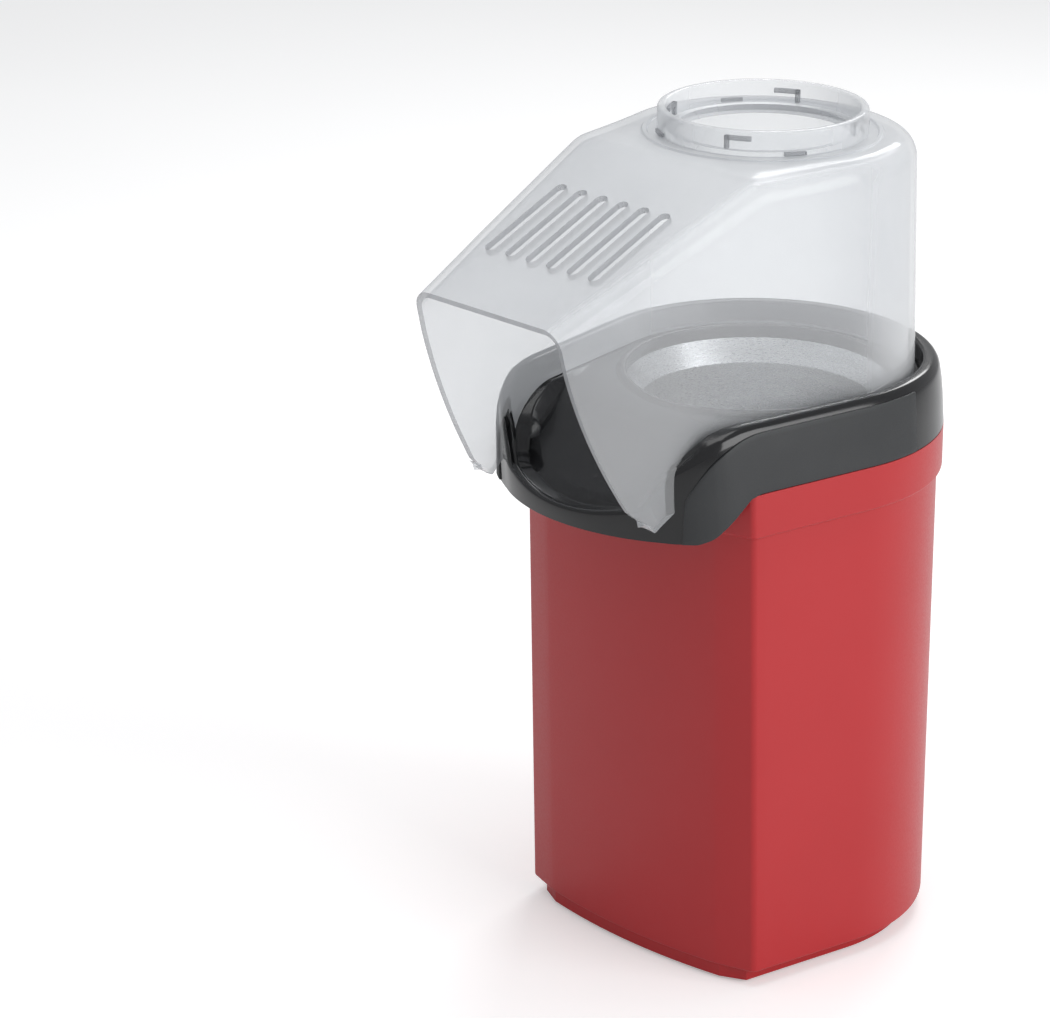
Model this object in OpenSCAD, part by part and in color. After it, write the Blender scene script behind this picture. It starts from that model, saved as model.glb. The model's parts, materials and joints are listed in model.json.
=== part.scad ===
// Hot-air popcorn maker: a tapered plastic body with a blower and heater inside,
// a black collar with a pouring spout, and a clear lift-off hood.
// The popping chamber's axis is vertical; the spout points to -Y.

/* [Body] */
// Radius of the rounded back of the body
body_r = 62; // [56:0.5:75]
// Angle by which each side of the body closes in towards the front
body_taper = 9.6; // [8:0.1:12]
// Distance of the side creases in front of the chamber axis
crease_reach = 54; // [48:0.5:62]
// Distance of the bowed front face in front of the chamber axis
front_reach = 61.8; // [56:0.2:70]
// Half width of the bowed front face
front_half = 40; // [32:0.5:44]
// Radius of the bow of the front face
front_bow_r = 227; // [150:1:400]
// How much further the front stands out at the top than at the bottom
front_draft = 4.2; // [0:0.2:5]
// Height of the lower edge of the body shell
body_z = 6; // [5:0.5:8]
// Height of the body shell itself
body_h = 175; // [165:1:200]
// Thickness of the body shell
body_wall = 2.2; // [1.8:0.1:3]
// Height of the proud band around the top of the body
band_h = 16; // [10:1:22]
// How far that band stands out
band_proud = 1.8; // [1:0.1:2]

/* [Base] */
// How far the rubber feet stand below the base cover
foot_drop = 1; // [0.6:0.1:2]
// Radius of a foot
foot_r = 7; // [5:0.5:8]
// Thickness of the base cover
base_t = 2.4; // [2:0.1:3]
// How far the base cover's lip is set in from the body at the sides and back
base_inset = 5.2; // [4:0.2:5.6]
// How far the lip is set in at the front
base_front_inset = 1.7; // [1.2:0.1:3]
// Length of the skirt that stands up inside the body
skirt_h = 6; // [4:0.5:8]
// Distance of the screw posts from the chamber axis
post_ring = 52; // [48:0.5:53]
// Radius of a screw post
post_r = 4.2; // [3.8:0.1:4.4]

/* [Collar] */
// Radius of the back of the collar at its lower edge
collar_r = 64.2; // [58.2:0.1:77.2]
// Height of the collar from its lower side edge to its rim
collar_h = 25; // [22:0.5:30]
// Thickness of the collar's walls
collar_wall = 2.4; // [2:0.1:3]
// Reach of the spout's lip in front of the chamber axis
spout_reach = 102; // [94:0.5:110]
// Radius of the bow of the spout's lip
spout_bow_r = 70; // [60:1:120]
// Height of the spout's lip below the rim
spout_fall = 34.5; // [32:0.5:37]
// Radius of the rim's sweep down to the spout
rim_sweep = 30.5; // [28:0.5:32]
// Depth of the seat that the hood stands in
seat_depth = 7; // [5:0.5:9]
// Radius of the hole above the chamber
mouth_r = 45; // [43.5:0.5:46]
// Slope of the spout's floor
spout_slope = 34.4; // [28:0.2:36]

/* [Hood] */
// Radius of the back of the hood at its foot
hood_r = 54.4; // [48:0.2:56]
// Angle by which each side of the hood closes in towards the front
hood_taper = 9.8; // [8:0.1:11]
// Distance of the hood's front tip in front of the chamber axis
hood_reach = 128.2; // [116:0.2:136]
// Height of the hood from its seat to its flat top
hood_h = 84.4; // [76:0.2:96]
// Drop of the sloping roof from the flat top to the front tip
roof_drop = 35; // [28:0.5:40]
// Distance of the roof's crease in front of the chamber axis
roof_crease = 46; // [42:0.5:50]
// Thickness of the hood
hood_wall = 2.2; // [1.8:0.1:2.6]
// Rounding of the hood's upper edges
hood_round = 9; // [6:0.5:10]
// Outer radius of the ring on the hood's top
ring_r = 35.4; // [33:0.2:37]
// Height of that ring
ring_h = 8.6; // [6:0.2:12]
// Thickness of the ring's wall
ring_wall = 2.9; // [2.2:0.1:3.4]
// Number of steam slots in the roof
slot_count = 6; // [4:1:7]
// Distance between two steam slots
slot_pitch = 9.4; // [8.5:0.1:10]
// Length of a steam slot
slot_len = 38; // [30:1:44]
// Width of a steam slot
slot_w = 4.5; // [3.5:0.1:5]

/* [Chamber and heater] */
// Inner radius of the popping chamber
chamber_r = 40; // [36:0.5:40.5]
// Depth of the popping chamber
chamber_depth = 84; // [76:1:90]
// Sheet thickness of the popping chamber
chamber_t = 1; // [0.8:0.1:1.2]
// Number of air slots in the chamber's wall
air_slots = 20; // [12:1:24]
// Inner radius of the heat duct
duct_r = 45; // [43.5:0.5:46]
// Sheet thickness of the heat duct
duct_t = 0.8; // [0.6:0.1:1]
// Number of turns of heater wire
coil_turns = 6; // [4:1:7]
// Radius of the heater wire
coil_wire_r = 0.6; // [0.4:0.05:0.8]

/* [Fan and motor] */
// Radius of the fan wheel
fan_r = 30; // [26:0.5:31]
// Height of the fan wheel
fan_h = 13; // [10:0.5:15]
// Number of fan blades
fan_blades = 12; // [8:1:16]
// Gap between the fan wheel and its housing
fan_gap = 2.5; // [1.5:0.1:3]
// Radius of the motor can
motor_r = 14; // [12:0.5:15]
// Length of the motor can
motor_h = 34; // [28:0.5:36]
// Radius of the motor shaft
shaft_r = 1.5; // [1.2:0.1:2]

/* [Switch and cord inlet] */
// Height of the rocker switch above the surface the maker stands on
switch_z = 42; // [36:1:60]
// Width of the switch's bezel
bezel_w = 15; // [14:0.5:17]
// Height of the switch's bezel
bezel_h = 21; // [20:0.5:24]
// Swing of the rocker between off and on
rocker_swing = 20; // [14:1:22]
// Height of the cord inlet
inlet_z = 17; // [15:0.5:20]
// Radius of the cord inlet's bore
inlet_r = 3.5; // [3:0.1:4]

/* [Hidden] */
$fn = 96;

// Distance from the part's origin back to the chamber axis.
axis_y = (hood_reach - collar_r) / 2;
fit = 0.4;              // loose fit between separate casings
run_fit = 0.05;         // radial clearance of a running shaft
seat_gap = 0.2;         // gap under the hood at rest
pilot_r = 1.1;          // radius of a screw's pilot hole
screw_r = 1.45;         // radius of a screw's shank
head_r = 2.9;           // radius of a screw's head
head_h = 2;             // height of a screw's head
level_t = 0.5;          // thickness of the levels that a drafted casing is drawn over
big = 200;              // larger than the part, for cutting

// half width of the spout's bowed lip, start of the rim's sweep, and reach of the hood's lower tips
spout_half = 34;
sweep_y = 57;
hood_foot = 96.5;

body_top = body_z + body_h;
rim_z = body_top + collar_h;
seat_z = rim_z - 2 - seat_depth;
deck_under = seat_z - collar_wall;
hood_top = seat_z + hood_h;
spout_z = seat_z - (hood_foot - spout_start()) * tan(spout_slope);
function spout_start() = mouth_r + 7;

post_angles = [42, 138, 222, 318];
post_z = body_z + skirt_h + 0.2;
lug_angles = [15, 165, 200, 340];
lug_z = body_top - 12;
lug_ring = body_r - body_wall - 5.2;
flange_z = 72;
fan_z = 54;
fan_house_r = fan_r + fan_gap;
motor_top = fan_z - 4;
chamber_bottom = deck_under - chamber_depth;
board_z = flange_z + 8;
board_h = chamber_bottom - board_z - 3;
board_t = 0.8;
board_half = duct_r - 6;
coil_r = board_half - 2;
shoulder_z = deck_under - 9;

// --- helpers -----------------------------------------------------------------

// Places children in the part's own frame, from a frame centred on the chamber axis.
module on_axis() translate([0, axis_y, 0]) children();

// Points of an arc of radius r about c, from angle a0 to a1.
function arc(r, a0, a1, c = [0, 0], n = 16) =
    [for (i = [0 : n]) let (a = a0 + (a1 - a0) * i / n) c + r * [cos(a), sin(a)]];

// Point where a side, tangent to radius r and closing in by angle t, is y in front.
function side_point(r, t, y) = [(r - y * sin(t)) / cos(t), -y];

// Outline that is round at the back, with straight sides that close in to the front.
module wedge_plan(r, t, y) {
    circle(r);
    p = side_point(r, t, y);
    polygon([[r * cos(t), -r * sin(t)], p, [-p[0], p[1]], [-r * cos(t), -r * sin(t)]]);
}

// As above, with a bowed front, of radius bow_r and half width w, between two corner facets.
module bowed_plan(r, t, crease, front, w = front_half, bow_r = front_bow_r) {
    circle(r);
    c = side_point(r, t, crease);
    half = asin(w / bow_r);
    bow = arc(bow_r, -90 + half, -90 - half, [0, bow_r - front]);
    polygon(concat([[r * cos(t), -r * sin(t)], c], bow,
        [[-c[0], c[1]], [-r * cos(t), -r * sin(t)]]));
}

// Half width of the body, to the middle of its wall, at the place y.
function inside_x(y) = y > 0 ? sqrt(pow(body_r - body_wall / 2, 2) - y * y)
    : side_point(body_r - body_wall / 2, body_taper, -y)[0];

// Outline with the body's bowed front and corner facets, open wide to the sides and back.
module front_plan(g) {
    c = side_point(body_r + g, body_taper, crease_reach + g);
    half = asin(front_half / front_bow_r);
    bow = arc(front_bow_r, -90 + half, -90 - half, [0, front_bow_r - front_reach - g]);
    wide = bow[0] + 4 * (c - bow[0]);
    polygon(concat([[wide[0], big / 2], wide], bow, [[-wide[0], wide[1]], [-wide[0], big / 2]]));
}

// The body between two heights, grown outwards by g; its front leans out towards the top.
module body_form(g, z0, z1) intersection() {
    translate([0, 0, z0]) linear_extrude(z1 - z0) wedge_plan(body_r + g, body_taper, big / 2);
    translate([0, 0, body_z]) rotate([atan(front_draft / body_h), 0, 0]) translate([0, 0, -big / 4])
        linear_extrude(body_h + big / 2) front_plan(g);
}

// Puts children on a ring at the angles given.
module ring_of(angles, r) for (a = angles) rotate(a) translate([r, 0, 0]) children();

// A pan-head screw pointing up, with the top of its head at height 0.
module screw_up(len) {
    translate([0, 0, -head_h]) difference() {
        cylinder(r = head_r, h = head_h);
        translate([-0.4, -2, -0.01]) cube([0.8, 4, 0.8]);
        translate([-2, -0.4, -0.01]) cube([4, 0.8, 0.8]);
    }
    cylinder(r = pilot_r, h = len);
}

// An outline in the Y-Z plane, drawn as [forward, up], made w wide about X = 0.
module from_side(w) rotate([90, 0, -90]) translate([0, 0, -w / 2]) linear_extrude(w) children();

// --- body --------------------------------------------------------------------

module housing() color("firebrick") on_axis() difference() {
    union() {
        difference() {
            union() {
                body_form(0, body_z, body_top + 1);
                body_form(band_proud, body_top - band_h, body_top + 1);
            }
            body_form(-body_wall, body_z - 1, body_top + 2);
        }
        // posts that the base cover and the fan housing are screwed to
        ring_of(post_angles, post_ring) {
            translate([0, 0, post_z]) cylinder(r = post_r, h = flange_z - post_z);
        }
        for (a = post_angles) {
            x = post_ring * cos(a);
            y = post_ring * sin(a);
            translate([x > 0 ? x : -inside_x(y), y - 1, post_z + 1])
                cube([inside_x(y) - abs(x), 2, flange_z - post_z - 2]);
        }
        // lugs that the collar is screwed to
        ring_of(lug_angles, lug_ring) {
            translate([0, 0, lug_z - 4]) cylinder(r = post_r, h = 4);
            translate([0, -post_r, lug_z - 4]) cube([body_r - 0.6 - lug_ring, 2 * post_r, 4]);
        }
        // flat pad behind the switch
        translate([-bezel_w / 2 - 1.5, body_r - body_wall - 1.6, switch_z - bezel_h / 2 - 1.5])
            cube([bezel_w + 3, 2.6, bezel_h + 3]);
    }
    ring_of(post_angles, post_ring) translate([0, 0, body_z]) cylinder(r = pilot_r, h = flange_z);
    ring_of(lug_angles, lug_ring) translate([0, 0, lug_z - 5]) cylinder(r = screw_r, h = 6);
    // the top edge follows the collar
    above_edge(0);
    // spot face and opening for the switch
    translate([-(bezel_w + fit) / 2, body_r - 0.9, switch_z - (bezel_h + fit) / 2])
        cube([bezel_w + fit, 3, bezel_h + fit]);
    translate([-(bezel_w - 2) / 2, body_r - 8, switch_z - (bezel_h - 2) / 2])
        cube([bezel_w - 2, 12, bezel_h - 2]);
    // spot face and hole for the cord inlet
    translate([0, body_r - 0.6, inlet_z]) rotate([-90, 0, 0]) cylinder(r = inlet_r + 3, h = 4);
    translate([0, body_r - 6, inlet_z]) rotate([-90, 0, 0]) cylinder(r = inlet_r + 1.2, h = 8);
}

base_r = body_r - base_inset;
base_wall = 1.8;

// The outline of the base cover's lip, grown by g.
module lip_plan(g) bowed_plan(base_r + g, body_taper, crease_reach - base_front_inset + g,
    front_reach - base_front_inset + g);

// The outline of the skirt, which slides up inside the body, grown by g.
module skirt_plan(g) bowed_plan(body_r - body_wall - fit + g, body_taper,
    crease_reach - body_wall - fit + g, front_reach - body_wall - fit + g);

module base_cover() color("firebrick") on_axis() difference() {
    union() {
        translate([0, 0, foot_drop]) linear_extrude(body_z - foot_drop) lip_plan(0);
        translate([0, 0, body_z]) linear_extrude(skirt_h) skirt_plan(0);
    }
    // the hollow inside, down to the floor, left standing around the screws
    difference() {
        union() {
            translate([0, 0, foot_drop + base_t]) linear_extrude(body_z) lip_plan(-base_wall);
            translate([0, 0, body_z + base_wall]) linear_extrude(skirt_h) skirt_plan(-base_wall);
        }
        ring_of(post_angles, post_ring) cylinder(r = post_r, h = post_z);
    }
    // air intake
    for (i = [-4 : 4]) translate([i * 6 - 1.5, -24, 0]) cube([3, 48, 10]);
    ring_of(post_angles, post_ring) {
        cylinder(r = screw_r, h = 20);
        cylinder(r = head_r + 0.3, h = foot_drop + head_h + 0.6);
    }
    // room for the cord inlet
    translate([-8, body_r - 14, inlet_z - 8]) cube([16, 20, 20]);
    // sockets for the feet
    ring_of(foot_angles, foot_ring) cylinder(r = foot_r - 2, h = 5);
}

foot_angles = [65, 115, 240, 300];
foot_ring = 45;

module feet() color([0.09, 0.09, 0.09]) on_axis() ring_of(foot_angles, foot_ring) {
    cylinder(r = foot_r, h = foot_drop);
    cylinder(r = foot_r - 2, h = foot_drop + base_t);
    translate([0, 0, foot_drop + base_t]) cylinder(r = foot_r - 1, h = 1.2);
}

module base_screws() color("silver") on_axis() ring_of(post_angles, post_ring)
    translate([0, 0, foot_drop + head_h + 0.6]) screw_up(22);

module cord_inlet() color([0.1, 0.1, 0.1]) on_axis()
    translate([0, body_r, inlet_z]) rotate([-90, 0, 0]) difference() {
        union() {
            translate([0, 0, -0.6]) cylinder(r = inlet_r + 2.6, h = 2.4);
            translate([0, 0, -9]) cylinder(r = inlet_r + 1.2, h = 9);
            translate([0, 0, -5]) cylinder(r = inlet_r + 2.6, h = 2);
        }
        translate([0, 0, -10]) cylinder(r = inlet_r, h = 14);
    }

// --- collar ------------------------------------------------------------------

// One level of the collar's outside, grown by g; its sides run parallel to the body's.
module collar_level(z, g, front = 0) translate([0, 0, z]) linear_extrude(level_t)
    bowed_plan($fn = 48, collar_r + g, body_taper, spout_reach - 26 + front + g,
        spout_reach + front + g, spout_half, spout_bow_r);

// The rounded outside of the collar, without its front curve.
module collar_form(g) hull() {
    collar_level(body_top - 16, g, -3.5);
    collar_level(body_top + 1, g);
    collar_level(rim_z - 6, g - 2.2);
    collar_level(rim_z - 2, g - 3.4);
    collar_level(rim_z - level_t, g - 7);
}

// The rim line seen from the side, from the back down to the spout's lip, lowered by d.
function rim_line(d) = concat([[-90, rim_z + 90], [-90, rim_z - 1 - d]],
    arc(rim_sweep - d, 90, 8, [sweep_y, rim_z - 1 - rim_sweep], 14),
    [[hood_foot - 1 - 0.7 * d, rim_z - spout_fall + 2 - 0.3 * d],
    [spout_reach + 20, rim_z - spout_fall - 5 - 0.3 * d], [spout_reach + 20, rim_z + 90]]);

// Everything above the rim line.
module above_rim(d) from_side(big) polygon(rim_line(d));

// Everything above the collar's lower edge, with its slanted step down to the spout, raised by d.
module above_edge(d) from_side(big) polygon([[-90, body_top + 40], [-90, body_top + d], [60, body_top + d],
    [75, body_top - 13 + d], [82, body_top - 15 + d], [spout_reach + 20, body_top - 15 + d],
    [spout_reach + 20, body_top + 40]]);

// Everything above the spout's floor, lowered by d.
module above_floor(d) from_side(big) polygon([[spout_start(), seat_z - d],
    [spout_start() + 60, seat_z - d - 60 * tan(spout_slope)],
    [spout_start() + 60, rim_z + 20], [spout_start(), rim_z + 20]]);

module collar() color([0.12, 0.12, 0.13]) on_axis() difference() {
    union() {
        difference() {
            intersection() {
                collar_form(0);
                above_edge(0);
            }
            above_rim(0);
            // the hood's seat
            intersection() {
                seat_block(fit);
                above_rim(seat_depth);
            }
            // the spout
            intersection() {
                seat_block(-6);
                above_floor(0);
            }
            // the hollow underside
            difference() {
                translate([0, 0, body_top - 20]) linear_extrude(deck_under - body_top + 20)
                    bowed_plan(collar_r - 2.2 - collar_wall, body_taper, spout_reach - 33,
                        spout_reach - 6 - collar_wall, spout_half - 4, spout_bow_r);
                above_rim(seat_depth + collar_wall + 0.6);
                above_floor(collar_wall + 0.6);
            }
        }
        // bosses for the collar screws
        ring_of(lug_angles, lug_ring) translate([0, 0, lug_z])
            cylinder(r = post_r, h = deck_under - lug_z + 0.5);
    }
    translate([0, 0, seat_z - 10]) cylinder(r = mouth_r, h = 30);
    ring_of(lug_angles, lug_ring) translate([0, 0, lug_z - 1]) cylinder(r = pilot_r, h = 14);
}

// The hood's outline, grown by g, through the collar's whole height.
module seat_block(g) translate([0, 0, body_top - 20]) linear_extrude(80)
    wedge_plan(hood_r + g, hood_taper + 0.3, spout_reach + 20);

module collar_screws() color("silver") on_axis() ring_of(lug_angles, lug_ring)
    translate([0, 0, lug_z - 4]) screw_up(14);

// --- chamber and heater --------------------------------------------------------

module popping_chamber() color("silver") on_axis() difference() {
    rotate_extrude() polygon([[0, chamber_bottom], [chamber_r - 6, chamber_bottom],
        [chamber_r + chamber_t, chamber_bottom + 5], [chamber_r + chamber_t, shoulder_z],
        [mouth_r + chamber_t, deck_under - chamber_t], [mouth_r + 4, deck_under - chamber_t],
        [mouth_r + 4, deck_under], [mouth_r + 0.5, deck_under], [chamber_r, shoulder_z + 0.6],
        [chamber_r, chamber_bottom + 5.6], [chamber_r - 6.4, chamber_bottom + chamber_t],
        [12, chamber_bottom + chamber_t], [6, chamber_bottom + 4], [0, chamber_bottom + 5]]);
    for (i = [0 : air_slots - 1]) rotate(i * 360 / air_slots)
        translate([chamber_r - 3, 0, chamber_bottom + 8]) rotate([0, 0, 35])
            translate([-2, -1.1, 0]) cube([10, 2.2, 15]);
}

module heat_duct() color([0.72, 0.72, 0.7]) on_axis() difference() {
    rotate_extrude() polygon([[duct_r, flange_z + 3], [duct_r + 7, flange_z + 3],
        [duct_r + 7, flange_z + 3 + duct_t], [duct_r + duct_t, flange_z + 3 + duct_t],
        [duct_r + duct_t, shoulder_z - 2],
        [chamber_r + chamber_t + 0.1, shoulder_z], [chamber_r + chamber_t + 0.1, shoulder_z - duct_t],
        [duct_r, shoulder_z - 2 - duct_t]]);
    ring_of(duct_screw_angles, duct_screw_ring) translate([0, 0, flange_z]) cylinder(r = screw_r, h = 6);
    ring_of(post_angles, post_ring) translate([0, 0, flange_z]) cylinder(r = post_r, h = 6);
    rotate(90) translate([duct_r - 2, 0, thermo_z]) rotate([0, 90, 0]) cylinder(r = 3, h = 6);
}

duct_screw_angles = [0, 90, 180, 270];
duct_screw_ring = duct_r + duct_t + head_r + 0.3;
thermo_z = 140;

module duct_screws() color("silver") on_axis() ring_of(duct_screw_angles, duct_screw_ring)
    translate([0, 0, flange_z + 3 + duct_t]) rotate([180, 0, 0]) screw_up(6);

module fan_housing() color([0.85, 0.84, 0.8]) on_axis() difference() {
    union() {
        rotate_extrude() polygon([[fan_house_r, fan_z - 2], [fan_house_r + 6, fan_z - 2],
            [fan_house_r + 6, fan_z], [fan_house_r + 2, fan_z], [fan_house_r + 2, flange_z - 6],
            [fan_house_r + 8, flange_z], [duct_r + 7, flange_z], [duct_r + 7, flange_z + 3],
            [duct_r - 3, flange_z + 3], [fan_house_r, flange_z - 4.5]]);
        ring_of(post_angles, post_ring) translate([0, 0, flange_z]) cylinder(r = post_r, h = 3);
    }
    ring_of(post_angles, post_ring) translate([0, 0, flange_z - 1]) cylinder(r = screw_r, h = 6);
    ring_of(duct_screw_angles, duct_screw_ring) translate([0, 0, flange_z - 1])
        cylinder(r = pilot_r, h = 6);
    ring_of(bracket_angles, bracket_ring) translate([0, 0, fan_z - 3]) cylinder(r = screw_r, h = 4);
}

module fan_housing_screws() color("silver") on_axis() ring_of(post_angles, post_ring)
    translate([0, 0, flange_z + 3]) rotate([180, 0, 0]) screw_up(12);

// A mica board standing on edge; side = 1 leaves the lower half of its middle slot open.
module mica_board(side) difference() {
    translate([-board_half, -board_t / 2, board_z]) cube([2 * board_half, board_t, board_h]);
    translate([-board_t / 2 - 0.05, -2, board_z + (side > 0 ? -1 : board_h / 2)])
        cube([board_t + 0.1, 4, board_h / 2 + 1]);
    for (s = [-1, 1], i = [0 : coil_turns - 1])
        translate([s * coil_r - (s > 0 ? coil_wire_r : 3), -2, coil_z(i) - coil_wire_r - 0.1])
            cube([3 + coil_wire_r, 4, 2 * coil_wire_r + 0.2]);
}
function coil_z(i) = board_z + 4 + i * (board_h - 8) / (coil_turns - 1);

module mica_board_long() color([0.75, 0.68, 0.55]) on_axis() mica_board(1);
module mica_board_cross() color([0.75, 0.68, 0.55]) on_axis() rotate(90) mica_board(-1);

module heater_coils() color([0.5, 0.48, 0.46]) on_axis() for (i = [0 : coil_turns - 1])
    translate([0, 0, coil_z(i)]) rotate_extrude() translate([coil_r, 0]) circle(r = coil_wire_r, $fn = 24);

module heater_terminals() color("goldenrod") on_axis() for (s = [-1, 1])
    translate([s * 14 - 3, board_t / 2, board_z + 1]) {
        cube([6, 0.8, 7]);
        translate([3, 0, 3.5]) rotate([-90, 0, 0]) cylinder(r = 1.6, h = 2);
    }

module thermostat() color([0.82, 0.8, 0.74]) on_axis() rotate(90) {
    translate([duct_r + duct_t, 0, thermo_z]) rotate([0, 90, 0]) cylinder(r = 7.5, h = 4);
    translate([duct_r + duct_t + 4, 0, thermo_z]) rotate([0, 90, 0]) cylinder(r = 5.5, h = 2);
    for (s = [-1, 1]) translate([duct_r + duct_t + 6, s * 3 - 2, thermo_z - 0.4]) cube([3.5, 4, 0.8]);
}

module thermal_fuse() color("white") on_axis() rotate(fuse_angle) translate([fuse_ring, 0, thermo_z - 8]) {
    cylinder(r = 2, h = 12);
    translate([0, 0, -6]) cylinder(r = 0.5, h = 24);
    translate([-2.6, -3, 4]) cube([0.8, 6, 4]);
}

// --- motor ---------------------------------------------------------------------

motor_z = motor_top - motor_h;
bracket_angles = [30, 150, 270];
bracket_ring = fan_house_r + 3.6;
motor_screw_ring = 8;
motor_screw_angles = [0, 180];

module motor_can() color("silver") on_axis() difference() {
    translate([0, 0, motor_z]) cylinder(r = motor_r, h = motor_h);
    translate([0, 0, motor_z - 1]) cylinder(r = motor_r - 1, h = motor_h);
    translate([0, 0, motor_z]) cylinder(r = 4, h = motor_h + 2);
    ring_of(motor_screw_angles, motor_screw_ring) translate([0, 0, motor_top - 2])
        cylinder(r = pilot_r, h = 4);
}

module motor_end_cap() color([0.16, 0.16, 0.17]) on_axis() difference() {
    union() {
        translate([0, 0, motor_z - 3]) cylinder(r = motor_r, h = 3);
        translate([0, 0, motor_z]) cylinder(r = motor_r - 1, h = 2);
        translate([0, 0, motor_z - 5]) cylinder(r = 5, h = 3);
    }
    translate([0, 0, motor_z - 4]) cylinder(r = 3.5, h = 10);
    translate([0, 0, motor_z - 6]) cylinder(r = 2.5, h = 4);
}

module motor_magnets() color([0.25, 0.25, 0.27]) on_axis() for (s = [0, 180]) rotate(s) intersection() {
    translate([0, 0, motor_z + 8]) difference() {
        cylinder(r = motor_r - 1, h = motor_h - 14);
        translate([0, 0, -1]) cylinder(r = motor_r - 4, h = motor_h);
    }
    translate([3, -motor_r, motor_z]) cube([motor_r, 2 * motor_r, motor_h]);
}

// Sintered bushes at both ends of the motor.
module motor_bushes() color("darkgoldenrod") on_axis() difference() {
    union() {
        translate([0, 0, motor_top - 4]) cylinder(r = 4, h = 4);
        translate([0, 0, motor_z - 4]) cylinder(r = 3.5, h = 4);
    }
    translate([0, 0, motor_z - 6]) cylinder(r = shaft_r + run_fit, h = motor_h + 10);
}

module motor_brushes() color([0.15, 0.15, 0.15]) on_axis() for (s = [0, 180]) rotate(s + 90)
    translate([3.25, -1.2, motor_z + 2.4]) cube([motor_r - 1.1 - 3.25, 2.4, 3]);

module motor_bracket() color([0.7, 0.7, 0.68]) on_axis() difference() {
    union() {
        translate([0, 0, motor_top]) cylinder(r = motor_r + 1, h = 1.6);
        for (a = bracket_angles) rotate(a) {
            translate([0, -4, motor_top]) cube([bracket_ring, 8, 1.6]);
            translate([bracket_ring, 0, motor_top]) cylinder(r = 4, h = 1.6);
            translate([bracket_ring, 0, motor_top]) cylinder(r = 2.6, h = fan_z - 2 - motor_top);
        }
    }
    translate([0, 0, motor_top - 1]) cylinder(r = 5, h = 4);
    ring_of(motor_screw_angles, motor_screw_ring) translate([0, 0, motor_top - 1])
        cylinder(r = screw_r, h = 4);
    ring_of(bracket_angles, bracket_ring) translate([0, 0, motor_top - 1]) cylinder(r = pilot_r, h = 8);
}

module motor_screws() color("silver") on_axis() {
    ring_of(motor_screw_angles, motor_screw_ring) translate([0, 0, motor_top + 1.6])
        rotate([180, 0, 0]) screw_up(2.6);
    ring_of(bracket_angles, bracket_ring) translate([0, 0, motor_top]) screw_up(5.6);
}

module rectifier_board() color("darkgreen") on_axis() difference() {
    translate([0, 0, motor_z - 6.6]) cylinder(r = 13, h = 1.6);
    translate([0, 0, motor_z - 8]) cylinder(r = 3, h = 4);
}

module rectifier_diodes() color([0.1, 0.1, 0.1]) on_axis() for (s = [-1, 1], t = [-1, 1])
    translate([s * 5 - 2.5, t * 7, motor_z - 6.6 - 1.4]) rotate([0, 90, 0]) cylinder(r = 1.4, h = 5);

// --- rotor ---------------------------------------------------------------------

rotor_gap = 0.6;

module rotor_shaft() color("silver") on_axis() translate([0, 0, motor_z - 3.5])
    cylinder(r = shaft_r, h = fan_z + fan_h - 2 - motor_z + 3.5);

module armature() color([0.45, 0.45, 0.47]) on_axis() difference() {
    translate([0, 0, motor_z + 10]) cylinder(r = motor_r - 4 - rotor_gap, h = motor_h - 18);
    translate([0, 0, motor_z]) cylinder(r = shaft_r, h = motor_h);
    for (a = [0, 120, 240]) rotate(a) translate([5, -1, motor_z]) cube([10, 2, motor_h]);
    for (a = [0, 120, 240]) rotate(a) translate([5.2, 0, motor_z]) cylinder(r = 2, h = motor_h);
}

module armature_windings() color([0.72, 0.35, 0.15]) on_axis()
    for (z = [motor_z + 7.4, motor_z + motor_h - 8]) translate([0, 0, z]) difference() {
        cylinder(r = 7, h = 2.6);
        translate([0, 0, -1]) cylinder(r = 3.4, h = 6);
    }

module commutator() color("peru") on_axis() difference() {
    translate([0, 0, motor_z + 1.4]) cylinder(r = 3.2, h = 5.4);
    translate([0, 0, motor_z]) cylinder(r = shaft_r, h = 10);
    for (a = [0, 120, 240]) rotate(a) translate([2.4, -0.25, motor_z]) cube([2, 0.5, 10]);
}

module fan_wheel() color([0.9, 0.9, 0.88]) on_axis() translate([0, 0, fan_z]) difference() {
    union() {
        cylinder(r = fan_r, h = 1.4);
        cylinder(r = 4.5, h = fan_h - 3);
        for (i = [0 : fan_blades - 1]) rotate(i * 360 / fan_blades)
            translate([11, 0, 0]) rotate(28) translate([0, -0.6, 1]) cube([15, 1.2, fan_h - 1]);
    }
    translate([0, 0, -1]) cylinder(r = shaft_r, h = fan_h + 2);
}

// --- switch and wiring -----------------------------------------------------------

hinge_y = body_r - 2.2;
rocker_w = bezel_w - 5;
rocker_pin_r = 1.2;

module switch_body() color([0.1, 0.1, 0.1]) on_axis() difference() {
    union() {
        translate([-bezel_w / 2, body_r - 0.9, switch_z - bezel_h / 2]) cube([bezel_w, 2, bezel_h]);
        translate([-(bezel_w - 2.4) / 2, body_r - 14, switch_z - (bezel_h - 2.4) / 2])
            cube([bezel_w - 2.4, 14, bezel_h - 2.4]);
    }
    translate([-(rocker_w + 0.6) / 2, body_r - 9, switch_z - (bezel_h - 4) / 2])
        cube([rocker_w + 0.6, 12, bezel_h - 4]);
    translate([-(rocker_w + 2) / 2, hinge_y, switch_z]) rotate([0, 90, 0])
        cylinder(r = rocker_pin_r + run_fit, h = rocker_w + 2, $fn = 48);
}

module switch_terminals() color("goldenrod") on_axis() for (s = [-1, 1])
    translate([-2.4, body_r - 22, switch_z + s * 5 - 0.4]) cube([4.8, 8, 0.8]);

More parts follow.
